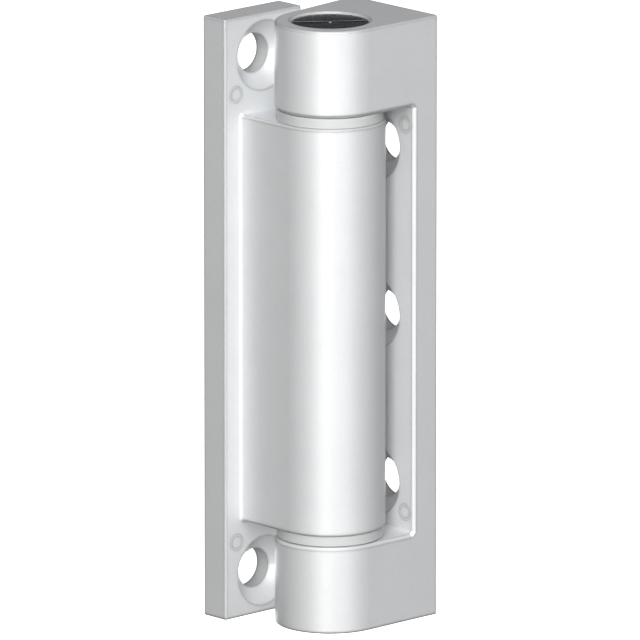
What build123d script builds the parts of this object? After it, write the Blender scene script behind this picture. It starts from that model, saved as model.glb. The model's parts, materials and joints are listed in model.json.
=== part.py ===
from build123d import *
import math
import os

# Screw-on hinge of two cast leaves, in millimetres.
# The hinge stands upright: the pin runs along Z, and the height is centred on Z = 0.
# The fixed leaf is screwed to a face across Y. The origin is the centre of its mounting face,
# which looks along +Y. The swing leaf is shown opened square to it: its mounting face looks along +X.

# Leaves
leaf_height = 100.0
plate_thickness = 5.2
fixed_plate_width = 17.0
swing_plate_width = 20.0
fixed_face_to_axis = 16.7
swing_face_to_axis = 15.4
axis_to_fixed_middle = 4.0
edge_radius = 0.4
inner_corner_radius = 0.6
mounting_edge_chamfer = 0.15

# Knuckles
knuckle_diameter = 18.0
end_knuckle_height = 14.4
knuckle_rim_chamfer = 0.3
window_edge_chamfer = 0.5
window_corner_chamfer = 0.4
web_from_right_end = 2.0

# Pin and bushes
pin_diameter = 10.0
pin_end_chamfer = 0.6
pin_running_clearance = 0.05
pin_core_clearance = 0.25
bush_wall = 1.5
bush_sleeve_length = 14.0
flange_thickness = 1.7
flange_diameter = 17.4
flange_edge_chamfer = 0.15
end_play = 0.1

# Caps over the pin ends
cap_diameter = 12.6
cap_thickness = 2.3
cap_depth_below_end = 0.3
cap_edge_chamfer = 0.25
cap_groove_width = 0.4
cap_groove_depth = 0.3
cap_groove_length = 11.4
cap_groove_angle = -38.0
cap_dot_diameter = 0.8
cap_dot_height = 0.12
cap_seat_chamfer = 0.35

# Screw holes for countersunk M6 screws
screw_hole_diameter = 6.6
countersink_diameter = 11.6
countersink_angle = 90.0
fixed_hole_from_end = 7.0
swing_hole_from_window_end = 7.6
swing_hole_from_edge = 9.2
swing_hole_count = 3

# Rings that the ejector pins of the mould left on the front faces
mark_diameter = 2.6
mark_groove_width = 0.2
mark_groove_depth = 0.1
fixed_mark_from_end = 12.7
fixed_mark_from_edge = 2.5
swing_mark_from_window_end = 3.3
swing_mark_from_edge = 2.1

# Two places closer than this are the same place
NEAR = 1e-4

# Worked out from the sizes above
knuckle_radius = knuckle_diameter / 2
pin_radius = pin_diameter / 2
bush_inner_radius = pin_radius + pin_running_clearance
bush_outer_radius = bush_inner_radius + bush_wall
core_radius = pin_radius + pin_core_clearance
cap_radius = cap_diameter / 2
half_height = leaf_height / 2
end_knuckle_inner_z = half_height - end_knuckle_height
centre_knuckle_half = end_knuckle_inner_z - flange_thickness - end_play
cap_seat_depth = cap_thickness + cap_depth_below_end
pin_half_length = half_height - cap_seat_depth

axis_x = axis_to_fixed_middle
axis_y = -fixed_face_to_axis
axis = Vector(axis_x, axis_y)
fixed_front_y = -plate_thickness
fixed_left_x = -fixed_plate_width / 2
fixed_right_x = fixed_plate_width / 2
swing_back_x = axis_x + swing_face_to_axis
swing_front_x = swing_back_x - plate_thickness
swing_end_y = axis_y - knuckle_radius
swing_far_y = swing_end_y + swing_plate_width
fixed_hole_z = half_height - fixed_hole_from_end
fixed_mark_z = half_height - fixed_mark_from_end
swing_hole_y = swing_end_y + swing_hole_from_edge
swing_hole_z = end_knuckle_inner_z - swing_hole_from_window_end
swing_hole_spacing = 2 * swing_hole_z / (swing_hole_count - 1)
swing_mark_z = end_knuckle_inner_z - swing_mark_from_window_end


def on_knuckle(angle):
    """Point of the knuckles' circle, at an angle in degrees from +X."""
    turn = math.radians(angle)
    return axis + Vector(math.cos(turn), math.sin(turn)) * knuckle_radius


def flank_angle(corner, side):
    """Angle at which the straight flank from a corner runs into the knuckles' circle."""
    reach = corner - axis
    direction = math.degrees(math.atan2(reach.Y, reach.X))
    return direction + side * math.degrees(math.acos(knuckle_radius / reach.length))


def knuckle_block(first_corner, last_corner, bottom_z, top_z):
    """Knuckle with two straight flanks that run from its circle to the corners of its plate.

    The round part goes anticlockwise, seen from above, from the first corner's flank to the last one's.
    """
    start = flank_angle(first_corner, 1)
    end = flank_angle(last_corner, -1)
    if end < start:
        end += 360
    outline = [
        Line(first_corner, on_knuckle(start)),
        ThreePointArc(on_knuckle(start), on_knuckle((start + end) / 2), on_knuckle(end)),
        Line(on_knuckle(end), last_corner),
        Line(last_corner, first_corner),
    ]
    return Pos(0, 0, bottom_z) * extrude(make_face(outline), top_z - bottom_z)


def on_axis(shape, z=0.0):
    """The same shape moved from the Z axis to the hinge axis, at a height."""
    return Pos(axis_x, axis_y, z) * shape


def in_plane(edge, across, *places):
    """Whether a whole edge lies in one of the planes at these places along an axis."""
    heights = [(edge @ step).dot(across.direction) for step in (0, 0.25, 0.5, 0.75, 1)]
    return any(all(abs(height - place) < NEAR for height in heights) for place in places)


def border(faces):
    """Edges that run round a group of faces."""
    edges = [edge for face in faces for edge in face.edges()]
    return [edge for edge in edges if sum(edge.is_same(other) for other in edges) == 1]


def countersunk_hole():
    """Cutter for a countersunk screw hole, from the plate's front face at Z = 0 down through the plate."""
    hole_radius = screw_hole_diameter / 2
    sink_radius = countersink_diameter / 2
    slope = math.tan(math.radians(countersink_angle / 2))
    sink_depth = (sink_radius - hole_radius) / slope
    margin = 0.5
    profile = Polyline(
        (0, margin),
        (sink_radius + margin * slope, margin),
        (hole_radius, -sink_depth),
        (hole_radius, -plate_thickness - margin),
        (0, -plate_thickness - margin),
        close=True,
    )
    return revolve(Plane.XZ * make_face(profile), Axis.Z)


def mark():
    """Cutter for an ejector mark, a fine round groove in a front face at Z = 0."""
    outer_radius = mark_diameter / 2
    core = Cylinder(outer_radius - mark_groove_width, 2 * mark_groove_depth)
    return Cylinder(outer_radius, 2 * mark_groove_depth) - core


def fixed_front(x, z):
    """Place on the fixed leaf's front face, with Z pointing out of it."""
    return Plane((x, fixed_front_y, z), x_dir=(1, 0, 0), z_dir=(0, -1, 0))


def swing_front(y, z):
    """Place on the swing leaf's front face, with Z pointing out of it."""
    return Plane((swing_front_x, y, z), x_dir=(0, 1, 0), z_dir=(-1, 0, 0))


def make_fixed_leaf():
    plate = Box(fixed_plate_width, plate_thickness, leaf_height)
    plate = Pos(0, -plate_thickness / 2, 0) * plate
    plate = chamfer([e for e in plate.edges() if in_plane(e, Axis.Y, 0)], mounting_edge_chamfer)
    outer = [e for e in plate.edges() if e.length > 2 * mounting_edge_chamfer]
    plate = fillet([e for e in outer if not in_plane(e, Axis.Y, 0, -mounting_edge_chamfer)], edge_radius)

    # The web's left flank stands square to the plate, and its right flank slants to the plate's right end
    web_left = Vector(axis_x - knuckle_radius, fixed_front_y)
    web_right = Vector(fixed_right_x - web_from_right_end, fixed_front_y)
    web = knuckle_block(web_left, web_right, -centre_knuckle_half, centre_knuckle_half)
    rims = [e for e in web.edges() if in_plane(e, Axis.Z, centre_knuckle_half, -centre_knuckle_half)]
    rims = [e for e in rims if not in_plane(e, Axis.Y, fixed_front_y)]
    web = chamfer(rims, knuckle_rim_chamfer)
    leaf = plate + web
    roots = [e for e in leaf.edges() if in_plane(e, Axis.Y, fixed_front_y)]
    roots = [e for e in roots if web_left.X - NEAR < e.center().X < web_right.X + NEAR]
    roots = [e for e in roots if abs(e.center().Z) < centre_knuckle_half + NEAR]
    leaf = fillet(roots, inner_corner_radius)

    # Seats for the bush sleeves, and the narrower core between them that only clears the pin
    sleeve_seat = Cylinder(bush_outer_radius, 2 * bush_sleeve_length)
    leaf -= on_axis(sleeve_seat, centre_knuckle_half)
    leaf -= on_axis(sleeve_seat, -centre_knuckle_half)
    leaf -= on_axis(Cylinder(core_radius, leaf_height))

    for end in (-1, 1):
        leaf -= fixed_front(0, end * fixed_hole_z) * countersunk_hole()
        leaf -= fixed_front(fixed_left_x + fixed_mark_from_edge, end * fixed_mark_z) * mark()
    return leaf


def make_swing_leaf():
    first_corner = Vector(swing_back_x, swing_far_y)
    last_corner = Vector(swing_back_x, swing_end_y)
    leaf = knuckle_block(first_corner, last_corner, -half_height, half_height)

    # The opening between the end knuckles, down to the plate's front face
    window_left_x = axis_x - knuckle_diameter
    window = Box(swing_front_x - window_left_x, 2 * leaf_height, 2 * end_knuckle_inner_z)
    leaf -= Pos((swing_front_x + window_left_x) / 2, axis_y, 0) * window

    corners = [e for e in leaf.edges() if in_plane(e, Axis.X, swing_front_x)]
    corners = [e for e in corners if in_plane(e, Axis.Z, end_knuckle_inner_z, -end_knuckle_inner_z)]
    leaf = chamfer(corners, window_corner_chamfer)
    window_faces = [
        face
        for face in leaf.faces()
        if all(abs(v.Z) < end_knuckle_inner_z + NEAR and v.X < swing_front_x + NEAR for v in face.vertices())
    ]
    leaf = chamfer(border(window_faces), window_edge_chamfer)

    leaf = chamfer([e for e in leaf.edges() if in_plane(e, Axis.X, swing_back_x)], mounting_edge_chamfer)
    outer = [e for e in leaf.edges() if in_plane(e, Axis.Z, half_height, -half_height)]
    outer = [e for e in outer if not in_plane(e, Axis.X, swing_back_x - mounting_edge_chamfer)]
    leaf = fillet(outer, edge_radius)

    for end in (-1, 1):
        leaf -= on_axis(Cylinder(cap_radius, 2 * cap_seat_depth), end * half_height)
        rim = [e for e in leaf.edges().filter_by(GeomType.CIRCLE) if in_plane(e, Axis.Z, end * half_height)]
        rim = [e for e in rim if e.length > cap_radius * 2 * math.pi - NEAR]
        leaf = chamfer(rim, cap_seat_chamfer)
    leaf -= on_axis(Cylinder(pin_radius, leaf_height))

    for number in range(swing_hole_count):
        z = number * swing_hole_spacing - swing_hole_z
        leaf -= swing_front(swing_hole_y, z) * countersunk_hole()
    for end in (-1, 1):
        leaf -= swing_front(swing_end_y + swing_mark_from_edge, end * swing_mark_z) * mark()
    return leaf


def make_flanged_bush():
    """Bush with its flange's inner face at Z = 0 and its sleeve below."""
    flange = Pos(0, 0, flange_thickness / 2) * Cylinder(flange_diameter / 2, flange_thickness)
    flange = chamfer(flange.edges().filter_by(GeomType.CIRCLE), flange_edge_chamfer)
    sleeve = Pos(0, 0, -bush_sleeve_length / 2) * Cylinder(bush_outer_radius, bush_sleeve_length)
    bore = Cylinder(bush_inner_radius, 4 * bush_sleeve_length)
    return flange + sleeve - bore


def make_pin():
    pin = Cylinder(pin_radius, 2 * pin_half_length)
    return chamfer(pin.edges().filter_by(GeomType.CIRCLE), pin_end_chamfer)


def make_cap():
    """Cap with its inner face at Z = 0 and its outer face above."""
    cap = Pos(0, 0, cap_thickness / 2) * Cylinder(cap_radius, cap_thickness)
    rim = cap.edges().filter_by(GeomType.CIRCLE).sort_by(Axis.Z)[-1]
    cap = chamfer(rim, cap_edge_chamfer)
    groove = Rot(0, 0, cap_groove_angle) * Box(cap_groove_length, cap_groove_width, 2 * cap_groove_depth)
    cap -= Pos(0, 0, cap_thickness) * groove
    dot_height = cap_groove_depth + cap_dot_height
    dot = Cylinder(cap_dot_diameter / 2, dot_height)
    return cap + Pos(0, 0, cap_thickness - cap_groove_depth + dot_height / 2) * dot


bush = make_flanged_bush()
cap = make_cap()
parts = {
    "fixed_leaf": make_fixed_leaf(),
    "swing_leaf": make_swing_leaf(),
    "hinge_pin": on_axis(make_pin()),
    "upper_flanged_bush": on_axis(bush, centre_knuckle_half),
    "lower_flanged_bush": on_axis(mirror(bush, Plane.XY), -centre_knuckle_half),
    "upper_cap": on_axis(cap, pin_half_length),
    "lower_cap": on_axis(mirror(cap, Plane.XY), -pin_half_length),
}

os.makedirs("parts", exist_ok=True)
for name, shape in parts.items():
    export_step(shape, f"parts/{name}.step")
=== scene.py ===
import json
import math

import bmesh
import bpy
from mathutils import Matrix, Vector


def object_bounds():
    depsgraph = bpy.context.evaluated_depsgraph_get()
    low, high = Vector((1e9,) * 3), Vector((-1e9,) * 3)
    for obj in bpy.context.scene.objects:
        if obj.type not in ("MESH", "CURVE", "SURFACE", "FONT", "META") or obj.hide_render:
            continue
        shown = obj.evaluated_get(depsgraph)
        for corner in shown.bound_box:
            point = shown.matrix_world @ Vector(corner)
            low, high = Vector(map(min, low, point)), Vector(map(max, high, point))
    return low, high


bl_info = {
    "name": "Screw-on hinge finishes",
    "version": (1, 0, 0),
    "blender": (4, 5, 0),
    "location": "3D View > Sidebar > Hinge",
    "description": "Gives a capped screw-on hinge its real finishes and sets it in a small studio",
    "category": "Object",
}

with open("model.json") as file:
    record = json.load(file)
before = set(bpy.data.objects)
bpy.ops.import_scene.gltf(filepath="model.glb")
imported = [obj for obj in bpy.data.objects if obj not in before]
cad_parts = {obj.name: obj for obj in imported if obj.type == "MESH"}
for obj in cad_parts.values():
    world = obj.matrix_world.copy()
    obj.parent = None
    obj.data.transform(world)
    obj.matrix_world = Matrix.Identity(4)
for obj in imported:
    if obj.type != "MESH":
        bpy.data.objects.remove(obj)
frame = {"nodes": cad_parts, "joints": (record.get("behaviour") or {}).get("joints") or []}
CAD_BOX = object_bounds()

# Every length in this file is in metres, as in the frame
MM = 0.001

# Nearly all of a noise pattern lies between these values
NOISE_LOW = 0.3
NOISE_HIGH = 0.7

# Scaled like this, a noise pattern changes only along Z, so it makes lines round an upright piece
LINES_ROUND = (0.01, 0.01, 1)

# Half the side of the square floor: it reaches past the camera, which stands under 3 m away
FLOOR_REACH = 6

# Width of the camera's sensor, in millimetres
SENSOR_WIDTH = 36

WHITE = (1, 1, 1)

# The hinge axis runs upright through this point
AXIS = Vector(frame["joints"][0]["pos_m"])


def linear(code):
    """Linear red, green and blue of an sRGB colour written as six hex digits."""
    values = [int(code[i : i + 2], 16) / 255 for i in (0, 2, 4)]
    return [v / 12.92 if v <= 0.04045 else ((v + 0.055) / 1.055) ** 2.4 for v in values]


def add_node(tree, kind, inputs=None, **settings):
    """Add a node with its settings. Each input is a value, or the socket that it is linked from."""
    node = tree.nodes.new(kind)
    for name, value in settings.items():
        setattr(node, name, value)
    for name, value in (inputs or {}).items():
        if isinstance(value, bpy.types.NodeSocket):
            tree.links.new(value, node.inputs[name])
        else:
            node.inputs[name].default_value = value
    return node


def new_material(name):
    """A material with an empty node tree, its output node and the Object coordinates."""
    material = bpy.data.materials.new(name)
    material.use_nodes = True
    tree = material.node_tree
    tree.nodes.clear()
    output = add_node(tree, "ShaderNodeOutputMaterial")
    place = add_node(tree, "ShaderNodeTexCoord").outputs["Object"]
    return material, tree, output, place


def dress(material, *names):
    """Give CAD nodes a material in their first slot."""
    for name in names:
        frame["nodes"][name].material_slots[0].material = material


class LeafPaintSettings(bpy.types.PropertyGroup):
    """Powder coat of the two leaves."""

    colour: bpy.props.FloatVectorProperty(
        name="Colour",
        description="Silver grey of the powder coat",
        subtype="COLOR",
        min=0,
        max=1,
        default=linear("CDCFD1"),
    )
    roughness: bpy.props.FloatProperty(
        name="Roughness",
        description="Satin of the coat: lower is shinier",
        min=0,
        max=1,
        default=0.5,
    )
    gloss_spread: bpy.props.FloatProperty(
        name="Gloss spread",
        description="How far the roughness goes up and down with the ripple",
        min=0,
        max=0.2,
        default=0.015,
    )
    ripple: bpy.props.FloatProperty(
        name="Ripple",
        description="Spacing of the soft waves that the coat has after curing",
        unit="LENGTH",
        min=0.2 * MM,
        max=10 * MM,
        default=1.6 * MM,
    )
    flake: bpy.props.FloatProperty(
        name="Flake",
        description="Size of the metal flakes as drawn",
        unit="LENGTH",
        min=0.05 * MM,
        max=1 * MM,
        default=0.22 * MM,
    )
    # How far from outer edges the painted shade reaches, which dims the highlights on lit edges
    edge_width: bpy.props.FloatProperty(
        name="Edge width",
        description="How far from an outer edge the coat is thin",
        unit="LENGTH",
        min=0.1 * MM,
        max=2 * MM,
        default=0.5 * MM,
    )
    # Brightness of the painted shade on outer edges, which dims their highlights: 1 leaves the plain coat
    edge_shade: bpy.props.FloatProperty(
        name="Edge shade",
        description="Brightness of the thin coat on outer edges, where 1 is the plain coat",
        min=0,
        max=1,
        default=0.7,
    )


class SmallPartsSettings(bpy.types.PropertyGroup):
    """Plastic bushes and caps, and the steel pin."""

    bush_colour: bpy.props.FloatVectorProperty(
        name="Bush colour",
        description="Light grey of the bushes",
        subtype="COLOR",
        min=0,
        max=1,
        default=linear("B7B9BA"),
    )
    cap_colour: bpy.props.FloatVectorProperty(
        name="Cap colour",
        description="Black of the caps",
        subtype="COLOR",
        min=0,
        max=1,
        default=linear("3D3F43"),
    )
    pin_colour: bpy.props.FloatVectorProperty(
        name="Pin colour",
        description="Grey of the ground steel",
        subtype="COLOR",
        min=0,
        max=1,
        default=linear("B5B6B8"),
    )
    groove_turn: bpy.props.FloatProperty(
        name="Groove turn",
        description="Direction of the caps' fine line and of the fibres beside it, from +X",
        subtype="ANGLE",
        default=math.radians(-38),
    )
    # Width of the painted shadow on the floor of the caps' fine line and of the painted highlight on its
    # far lip
    line_width: bpy.props.FloatProperty(
        name="Line width",
        description="Width of the black floor of the caps' fine line, and of the rubbed lip beside it",
        unit="LENGTH",
        min=0.1 * MM,
        max=1 * MM,
        default=0.65 * MM,
    )


class StudioSettings(bpy.types.PropertyGroup):
    """Camera, lights and floor."""

    azimuth: bpy.props.FloatProperty(
        name="Azimuth",
        description="Side from which the camera looks: 0 looks along +Y",
        subtype="ANGLE",
        default=math.radians(-43.2),
    )
    elevation: bpy.props.FloatProperty(
        name="Elevation",
        description="Camera's angle above the horizon",
        subtype="ANGLE",
        default=math.radians(13.4),
    )
    distance: bpy.props.FloatProperty(
        name="Distance",
        description="From the camera to the point it looks at",
        unit="LENGTH",
        min=0.1,
        default=2.4,
    )
    focal_length: bpy.props.FloatProperty(
        name="Focal length",
        description="Of the lens, in millimetres on a 36 mm sensor",
        min=1,
        default=833.3,
    )
    floor_colour: bpy.props.FloatVectorProperty(
        name="Floor colour",
        description="White paper under the hinge",
        subtype="COLOR",
        min=0,
        max=1,
        default=linear("FFFFFF"),
    )
    key_power: bpy.props.FloatProperty(
        name="Key light",
        description="Power of the tall softbox left of the camera",
        unit="POWER",
        min=0,
        default=22,
    )
    key_colour: bpy.props.FloatVectorProperty(
        name="Key colour",
        description="Slightly warm white of the softbox left of the camera",
        subtype="COLOR",
        min=0,
        max=1,
        default=linear("FFFDFA"),
    )
    fill_power: bpy.props.FloatProperty(
        name="Fill light",
        description="Power of the tall softbox right of the camera, which throws no shadow",
        unit="POWER",
        min=0,
        default=11.5,
    )
    overhead_power: bpy.props.FloatProperty(
        name="Overhead light",
        description="Power of the softbox high over the camera",
        unit="POWER",
        min=0,
        default=23,
    )
    back_power: bpy.props.FloatProperty(
        name="Back light",
        description="Power of the wide softbox low behind the hinge, which shows its mounting faces",
        unit="POWER",
        min=0,
        default=22,
    )
    light_distance: bpy.props.FloatProperty(
        name="Light distance",
        description="From the softboxes to the point that the camera looks at",
        unit="LENGTH",
        min=0.1,
        default=1.6,
    )
    room_light: bpy.props.FloatProperty(
        name="Room light",
        description="Strength of the dim white light that comes from everywhere",
        min=0,
        default=0.02,
    )


class HINGE_OT_coat_leaves(bpy.types.Operator):
    """Powder coat both leaves"""

    bl_idname = "hinge.coat_leaves"
    bl_label = "Coat the leaves"

    def execute(self, context):
        settings = context.scene.hinge_paint
        # Polyester powder coat with metal flake, sprayed dry on the zinc casting and melted on: a satin
        # silver grey whose highlights are broad and soft, with a faint ripple and a fine sparkle
        material, tree, output, place = new_material("powder_coated_zinc")
        ripple = add_node(
            tree,
            "ShaderNodeTexNoise",
            {"Vector": place, "Scale": 1 / settings.ripple, "Detail": 2.0, "Roughness": 0.45},
        )
        # The real flakes are about 0.03 mm across, too fine to show, so they are drawn coarser
        flakes = add_node(
            tree,
            "ShaderNodeTexVoronoi",
            {"Vector": place, "Scale": 1 / settings.flake},
        )
        sparkle = add_node(
            tree,
            "ShaderNodeMapRange",
            {"Value": flakes.outputs["Color"], "To Min": 0.975, "To Max": 1.025},
        )
        # The spray gun leaves the coat a little thicker in some places, over some 9 mm
        cloud = add_node(
            tree,
            "ShaderNodeTexNoise",
            {"Vector": place, "Scale": 1 / (9 * MM), "Detail": 2.0},
        )
        thickness = add_node(
            tree,
            "ShaderNodeMapRange",
            {
                "Value": cloud.outputs["Fac"],
                "From Min": NOISE_LOW,
                "From Max": NOISE_HIGH,
                "To Min": 0.985,
                "To Max": 1.015,
            },
        )
        brightness = add_node(
            tree,
            "ShaderNodeMath",
            {0: sparkle.outputs["Result"], 1: thickness.outputs["Result"]},
            operation="MULTIPLY",
        )
        # Outer edges are painted darker: a painted shade that dims the highlights on lit edges, so that
        # they don't glare. The inner occlusion is 1 away from edges and falls at them
        near_edge = add_node(
            tree,
            "ShaderNodeAmbientOcclusion",
            {"Distance": settings.edge_width},
            inside=True,
            only_local=True,
        )
        # Painted shade: the colour falls towards outer edges
        painted_shade_at_edges = add_node(
            tree,
            "ShaderNodeMapRange",
            {
                "Value": near_edge.outputs["AO"],
                "From Min": 0.88,
                "From Max": 0.99,
                "To Min": settings.edge_shade,
            },
        )
        shade = add_node(
            tree,
            "ShaderNodeMath",
            {0: brightness.outputs["Value"], 1: painted_shade_at_edges.outputs["Result"]},
            operation="MULTIPLY",
        )
        tone = add_node(
            tree,
            "ShaderNodeHueSaturation",
            {"Color": (*settings.colour, 1), "Value": shade.outputs["Value"]},
        )
        gloss = add_node(
            tree,
            "ShaderNodeMapRange",
            {
                "Value": ripple.outputs["Fac"],
                "From Min": NOISE_LOW,
                "From Max": NOISE_HIGH,
                "To Min": settings.roughness - settings.gloss_spread,
                "To Max": settings.roughness + settings.gloss_spread,
            },
        )
        # The ripple is 0.004 mm high, and on it lies a grain of 0.3 mm that is 0.002 mm high
        waves = add_node(
            tree,
            "ShaderNodeBump",
            {"Height": ripple.outputs["Fac"], "Distance": 0.004 * MM},
        )
        grain = add_node(
            tree,
            "ShaderNodeTexNoise",
            {"Vector": place, "Scale": 1 / (0.3 * MM), "Detail": 1.0},
        )
        skin = add_node(
            tree,
            "ShaderNodeBump",
            {
                "Height": grain.outputs["Fac"],
                "Distance": 0.002 * MM,
                "Normal": waves.outputs["Normal"],
            },
        )
        paint = add_node(
            tree,
            "ShaderNodeBsdfPrincipled",
            {
                "Base Color": tone.outputs["Color"],
                "Metallic": 0.3,
                "Roughness": gloss.outputs["Result"],
                "IOR": 1.5,
                "Normal": skin.outputs["Normal"],
            },
        )
        tree.links.new(paint.outputs["BSDF"], output.inputs["Surface"])
        dress(material, "fixed_leaf", "swing_leaf")
        return {"FINISHED"}


class HINGE_OT_grind_pin(bpy.types.Operator):
    """Give the pin its ground steel"""

    bl_idname = "hinge.grind_pin"
    bl_label = "Grind the pin"

    def execute(self, context):
        settings = context.scene.hinge_small_parts
        # Centreless ground steel: bright, with very fine lines round the pin that draw its highlight
        # out along the pin. The lines are drawn 0.15 mm apart so that they show
        material, tree, output, place = new_material("ground_steel")
        round_pin = add_node(tree, "ShaderNodeMapping", {"Vector": place, "Scale": LINES_ROUND})
        lines = add_node(
            tree,
            "ShaderNodeTexNoise",
            {"Vector": round_pin.outputs["Vector"], "Scale": 1 / (0.15 * MM), "Detail": 3.0},
        )
        gloss = add_node(
            tree,
            "ShaderNodeMapRange",
            {"Value": lines.outputs["Fac"], "To Min": 0.16, "To Max": 0.34},
        )
        furrows = add_node(
            tree,
            "ShaderNodeBump",
            {"Height": lines.outputs["Fac"], "Distance": 0.0008 * MM},
        )
        steel = add_node(
            tree,
            "ShaderNodeBsdfPrincipled",
            {
                "Base Color": (*settings.pin_colour, 1),
                "Metallic": 1.0,
                "Roughness": gloss.outputs["Result"],
                "Normal": furrows.outputs["Normal"],
            },
        )
        tree.links.new(steel.outputs["BSDF"], output.inputs["Surface"])
        dress(material, "hinge_pin")
        return {"FINISHED"}


class HINGE_OT_turn_bushes(bpy.types.Operator):
    """Give the flanged bushes their turned plastic"""

    bl_idname = "hinge.turn_bushes"
    bl_label = "Turn the bushes"

    def execute(self, context):
        settings = context.scene.hinge_small_parts
        # Acetal turned from rod: a waxy, slightly translucent looking light grey, duller than the
        # paint beside it, with faint tool lines round the collar, 0.12 mm apart
        material, tree, output, place = new_material("turned_acetal")
        round_bush = add_node(tree, "ShaderNodeMapping", {"Vector": place, "Scale": LINES_ROUND})
        lines = add_node(
            tree,
            "ShaderNodeTexNoise",
            {"Vector": round_bush.outputs["Vector"], "Scale": 1 / (0.12 * MM), "Detail": 2.0},
        )
        shade = add_node(
            tree,
            "ShaderNodeMapRange",
            {
                "Value": lines.outputs["Fac"],
                "From Min": NOISE_LOW,
                "From Max": NOISE_HIGH,
                "To Min": 0.97,
                "To Max": 1.03,
            },
        )
        tone = add_node(
            tree,
            "ShaderNodeHueSaturation",
            {"Color": (*settings.bush_colour, 1), "Value": shade.outputs["Result"]},
        )
        gloss = add_node(
            tree,
            "ShaderNodeMapRange",
            {"Value": lines.outputs["Fac"], "To Min": 0.36, "To Max": 0.5},
        )
        furrows = add_node(
            tree,
            "ShaderNodeBump",
            {"Height": lines.outputs["Fac"], "Distance": 0.002 * MM},
        )
        plastic = add_node(
            tree,
            "ShaderNodeBsdfPrincipled",
            {
                "Base Color": tone.outputs["Color"],
                "Roughness": gloss.outputs["Result"],
                "IOR": 1.48,
                "Normal": furrows.outputs["Normal"],
            },
        )
        tree.links.new(plastic.outputs["BSDF"], output.inputs["Surface"])
        dress(material, "upper_flanged_bush", "lower_flanged_bush")
        return {"FINISHED"}


class HINGE_OT_mould_caps(bpy.types.Operator):
    """Give the caps their black plastic"""

    bl_idname = "hinge.mould_caps"
    bl_label = "Mould the caps"

    def execute(self, context):
        settings = context.scene.hinge_small_parts
        # Black nylon filled with glass fibre, moulded: half glossy, with grey fibre streaks along the
        # flow and a mottled skin. The fine line across it has a painted shadow on its floor and a painted
        # highlight on its far lip, and the gate in the middle, where it was broken off the mould, is a
        # whitened spot
        material, tree, output, place = new_material("moulded_black_nylon")
        along_line = add_node(
            tree,
            "ShaderNodeMapping",
            {"Vector": place, "Location": AXIS, "Rotation": (0, 0, settings.groove_turn)},
            vector_type="TEXTURE",
        )
        # The fibre streaks are 0.5 mm wide and about seven times as long
        drawn_out = add_node(
            tree,
            "ShaderNodeMapping",
            {"Vector": along_line.outputs["Vector"], "Scale": (0.15, 1, 1)},
        )
        fibres = add_node(
            tree,
            "ShaderNodeTexNoise",
            {"Vector": drawn_out.outputs["Vector"], "Scale": 1 / (0.5 * MM), "Detail": 3.0},
        )
        streaks = add_node(
            tree,
            "ShaderNodeMapRange",
            {
                "Value": fibres.outputs["Fac"],
                "From Min": NOISE_LOW,
                "From Max": NOISE_HIGH,
                "To Min": 0.5,
                "To Max": 1.6,
            },
        )
        # The line and the gate are drawn by place across the cap, whatever the height
        flat = add_node(
            tree,
            "ShaderNodeMapping",
            {"Vector": along_line.outputs["Vector"], "Scale": (1, 1, 0)},
        )
        across = add_node(tree, "ShaderNodeSeparateXYZ", {"Vector": flat.outputs["Vector"]})
        from_middle = add_node(
            tree,
            "ShaderNodeVectorMath",
            {0: flat.outputs["Vector"]},
            operation="LENGTH",
        )
        brightness = streaks.outputs["Result"]
        # What each band is measured along, where its middle lies on that, its half width, and its
        # brightness beside the plain skin: the line's floor (painted shadow), its far lip (painted
        # highlight), and the gate
        bands = (
            # Painted shadow on the floor of the fine line
            (across.outputs["Y"], 0, settings.line_width / 2, 0.1),
            # Painted highlight on the far lip of the fine line
            (across.outputs["Y"], 0.9 * settings.line_width, settings.line_width / 3, 5),
            (from_middle.outputs["Value"], 0, 0.4 * MM, 6),
        )
        for distance, middle, half_width, shade in bands:
            band = add_node(
                tree,
                "ShaderNodeMath",
                {0: distance, 1: middle, 2: half_width},
                operation="COMPARE",
            )
            level = add_node(
                tree,
                "ShaderNodeMapRange",
                {"Value": band.outputs["Value"], "To Min": 1, "To Max": shade},
            )
            brightness = add_node(
                tree,
                "ShaderNodeMath",
                {0: brightness, 1: level.outputs["Result"]},
                operation="MULTIPLY",
            ).outputs["Value"]
        tone = add_node(
            tree,
            "ShaderNodeHueSaturation",
            {"Color": (*settings.cap_colour, 1), "Value": brightness},
        )
        mottle = add_node(
            tree,
            "ShaderNodeTexNoise",
            {"Vector": place, "Scale": 1 / (0.7 * MM), "Detail": 3.0},
        )
        gloss = add_node(
            tree,
            "ShaderNodeMapRange",
            {"Value": mottle.outputs["Fac"], "To Min": 0.16, "To Max": 0.4},
        )
        skin = add_node(
            tree,
            "ShaderNodeBump",
            {"Height": mottle.outputs["Fac"], "Distance": 0.02 * MM},
        )
        plastic = add_node(
            tree,
            "ShaderNodeBsdfPrincipled",
            {
                "Base Color": tone.outputs["Color"],
                "Roughness": gloss.outputs["Result"],
                "IOR": 1.53,
                "Normal": skin.outputs["Normal"],
            },
        )
        tree.links.new(plastic.outputs["BSDF"], output.inputs["Surface"])
        dress(material, "upper_cap", "lower_cap")
        return {"FINISHED"}


def from_side(azimuth, elevation):
    """Direction from the hinge towards a place at an azimuth and elevation, as the camera's are given."""
    flat = math.cos(elevation)
    return Vector((math.sin(azimuth) * flat, -math.cos(azimuth) * flat, math.sin(elevation)))


def look_along(item, place, target):
    """Put a camera or light at a place and turn it to look at a target."""
    item.location = place
    item.rotation_euler = (target - place).to_track_quat("-Z", "Y").to_euler()


def add_softbox(name, place, target, width, height, power, colour, shadows):
    """A rectangular softbox that looks at the target and that the camera doesn't see."""
    lamp = bpy.data.lights.new(name, "AREA")
    lamp.shape = "RECTANGLE"
    lamp.size = width
    lamp.size_y = height
    lamp.energy = power
    lamp.color = colour
    lamp.use_shadow = shadows
    softbox = bpy.data.objects.new(name, lamp)
    softbox.visible_camera = False
    bpy.context.scene.collection.objects.link(softbox)
    look_along(softbox, place, target)


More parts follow.
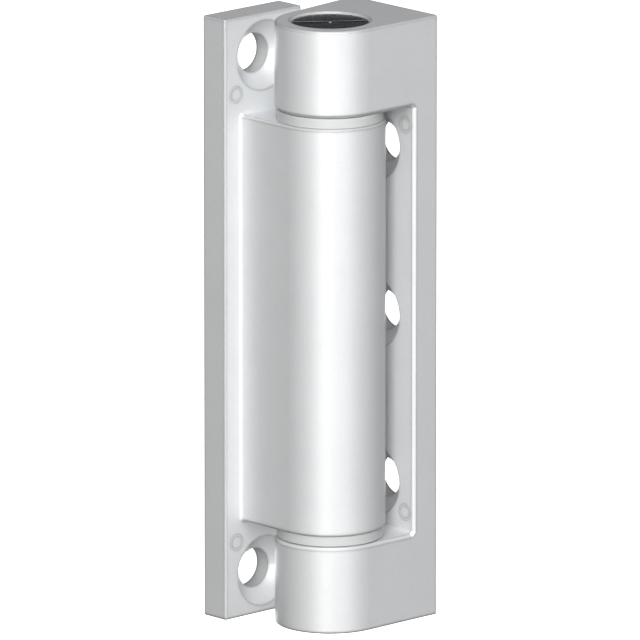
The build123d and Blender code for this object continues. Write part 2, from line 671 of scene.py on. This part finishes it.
class HINGE_OT_set_up_studio(bpy.types.Operator):
    """Lay the floor, and place the lights and the camera"""

    bl_idname = "hinge.set_up_studio"
    bl_label = "Set up the studio"

    def execute(self, context):
        settings = context.scene.hinge_studio
        scene = context.scene
        back = from_side(settings.azimuth, settings.elevation)
        right = Vector((math.cos(settings.azimuth), math.sin(settings.azimuth), 0))
        up = back.cross(right)
        # In the photograph the hinge stands a little right of the middle and below it
        aside = 1.63 * MM
        above = 0.27 * MM
        target = AXIS - aside * right + above * up

        lens = bpy.data.cameras.new("camera")
        lens.lens = settings.focal_length
        lens.sensor_width = SENSOR_WIDTH
        camera = bpy.data.objects.new("camera", lens)
        scene.collection.objects.link(camera)
        look_along(camera, target + back * settings.distance, target)
        scene.camera = camera

        plane = bmesh.new()
        bmesh.ops.create_grid(plane, x_segments=1, y_segments=1, size=FLOOR_REACH)
        bmesh.ops.translate(plane, verts=plane.verts, vec=(0, 0, CAD_BOX[0].z))
        mesh = bpy.data.meshes.new("floor")
        plane.to_mesh(mesh)
        plane.free()
        floor = bpy.data.objects.new("floor", mesh)
        scene.collection.objects.link(floor)
        # White paper lit from below, as on a light table: pure white, and no shadow lies on it
        material, tree, output, _ = new_material("lit_white_paper")
        paper = add_node(
            tree,
            "ShaderNodeBsdfPrincipled",
            {
                "Base Color": (*settings.floor_colour, 1),
                "Roughness": 0.9,
                "Emission Color": (*settings.floor_colour, 1),
                "Emission Strength": 1.0,
            },
        )
        tree.links.new(paper.outputs["BSDF"], output.inputs["Surface"])
        mesh.materials.append(material)
        floor.visible_diffuse = False
        floor.visible_glossy = False
        floor.visible_shadow = False

        # Degrees right of the camera, degrees above the horizon, width, height, power, colour, and
        # whether it throws shadows
        softboxes = {
            "key": (-10, 12, 0.5, 1.4, settings.key_power, settings.key_colour, True),
            "fill": (30, 12, 0.6, 1.4, settings.fill_power, WHITE, False),
            "overhead": (0, 50, 1.2, 1.2, settings.overhead_power, WHITE, True),
            "back": (180, -15, 2.0, 0.6, settings.back_power, WHITE, True),
        }
        for name, (turn, rise, *lamp_settings) in softboxes.items():
            side = from_side(settings.azimuth + math.radians(turn), math.radians(rise))
            add_softbox(name, target + side * settings.light_distance, target, *lamp_settings)

        world = bpy.data.worlds.new("studio")
        world.use_nodes = True
        room = world.node_tree.nodes["Background"]
        room.inputs["Color"].default_value = (*WHITE, 1)
        room.inputs["Strength"].default_value = settings.room_light
        scene.world = world
        scene.view_settings.view_transform = "Standard"
        return {"FINISHED"}


class HINGE_PT_panel(bpy.types.Panel):
    """Lists the hinge's finishes and its studio"""

    bl_idname = "HINGE_PT_panel"
    bl_label = "Hinge"
    bl_space_type = "VIEW_3D"
    bl_region_type = "UI"
    bl_category = "Hinge"

    def draw(self, context):
        for name, operators in GROUPS:
            box = self.layout.box()
            settings = getattr(context.scene, name)
            for field in settings.bl_rna.properties:
                if not field.is_readonly and field.identifier != "name":
                    box.prop(settings, field.identifier)
            for operator in operators:
                box.operator(operator.bl_idname)


# What the panel lists: a group of settings, and the operators that use it
GROUPS = (
    ("hinge_paint", (HINGE_OT_coat_leaves,)),
    ("hinge_small_parts", (HINGE_OT_grind_pin, HINGE_OT_turn_bushes, HINGE_OT_mould_caps)),
    ("hinge_studio", (HINGE_OT_set_up_studio,)),
)
SETTINGS = {
    "hinge_paint": LeafPaintSettings,
    "hinge_small_parts": SmallPartsSettings,
    "hinge_studio": StudioSettings,
}
CLASSES = (
    *SETTINGS.values(),
    HINGE_OT_coat_leaves,
    HINGE_OT_grind_pin,
    HINGE_OT_turn_bushes,
    HINGE_OT_mould_caps,
    HINGE_OT_set_up_studio,
    HINGE_PT_panel,
)


def register():
    for made in CLASSES:
        bpy.utils.register_class(made)
    for name, group in SETTINGS.items():
        setattr(bpy.types.Scene, name, bpy.props.PointerProperty(type=group))


def unregister():
    for name in SETTINGS:
        delattr(bpy.types.Scene, name)
    for made in reversed(CLASSES):
        bpy.utils.unregister_class(made)


def main():
    register()
    bpy.ops.hinge.coat_leaves()
    bpy.ops.hinge.grind_pin()
    bpy.ops.hinge.turn_bushes()
    bpy.ops.hinge.mould_caps()
    bpy.ops.hinge.set_up_studio()


if __name__ == "__main__":
    main()
